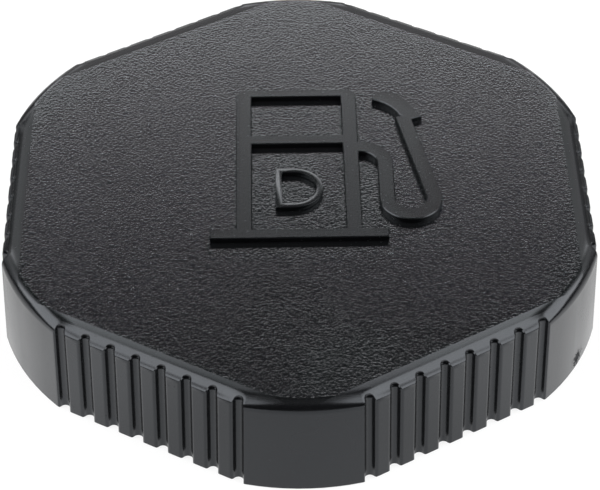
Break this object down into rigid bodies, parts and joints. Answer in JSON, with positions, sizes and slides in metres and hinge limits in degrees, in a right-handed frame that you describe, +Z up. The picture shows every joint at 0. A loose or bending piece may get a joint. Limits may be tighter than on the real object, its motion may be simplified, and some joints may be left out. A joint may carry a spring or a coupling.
{
  "type": "fuel filler cap",
  "caption": "Low hexagonal fuel filler cap with fluted flats, grained top and raised pump sign; bayonet plate, sprung gasket and vent valves inside the skirt.",
  "frame": {"origin": "centre of the rim that the cap stands on", "axes": "+Z up along the cap's axis through the top, one rounded corner towards -Y, lugs along +X and -X, sign upright towards +Y"},
  "size_m": [0.1004, 0.107, 0.0196],
  "materials": {
    "moulding": "satin black, fine leather grain on top",
    "core": "as moulded",
    "screws": "zinc plated",
    "plated_steel": "yellow zinc plated",
    "zinc_steel": "bright zinc plated",
    "spring_steel": "drawn spring steel",
    "gasket": "matte nitrile rubber",
    "washer": "natural acetal",
    "valve_plastic": "natural acetal",
    "foam": "open-cell foam"
  },
  "bodies": {
    "cover": {"grip_cover": "moulding", "carrier_body": "core", "cover_screws": "screws", "bayonet_plate": "plated_steel", "bore_seal": "gasket", "retaining_ring": "spring_steel", "pressure_spring": "spring_steel", "slip_washer": "washer", "valve_spring": "spring_steel", "valve_cover": "core", "filter_ring": "foam", "splash_basket": "valve_plastic"},
    "seal_carrier": {"pressure_plate": "zinc_steel", "seal_ring": "gasket"},
    "pressure_valve": {"valve_disc": "valve_plastic", "valve_seal": "gasket", "vacuum_spring": "spring_steel"},
    "vacuum_valve": {"vacuum_valve": "valve_plastic", "vacuum_clip": "spring_steel"}
  },
  "joints": [
    {"name": "gasket_slide", "type": "slide", "parent": "cover", "child": "seal_carrier", "axis": [0, 0, 1], "range_m": [0, 0.0018], "stiffness_N_per_m": 9000, "springref_m": -0.004, "deforming": ["pressure_spring"]},
    {"name": "pressure_slide", "type": "slide", "parent": "cover", "child": "pressure_valve", "axis": [0, 0, 1], "range_m": [0, 0.0013], "stiffness_N_per_m": 300, "springref_m": -0.003, "deforming": ["valve_spring"]},
    {"name": "vacuum_slide", "type": "slide", "parent": "pressure_valve", "child": "vacuum_valve", "axis": [0, 0, 1], "range_m": [-0.001, 0], "stiffness_N_per_m": 100, "springref_m": 0.002, "deforming": ["vacuum_spring"]}
  ]
}
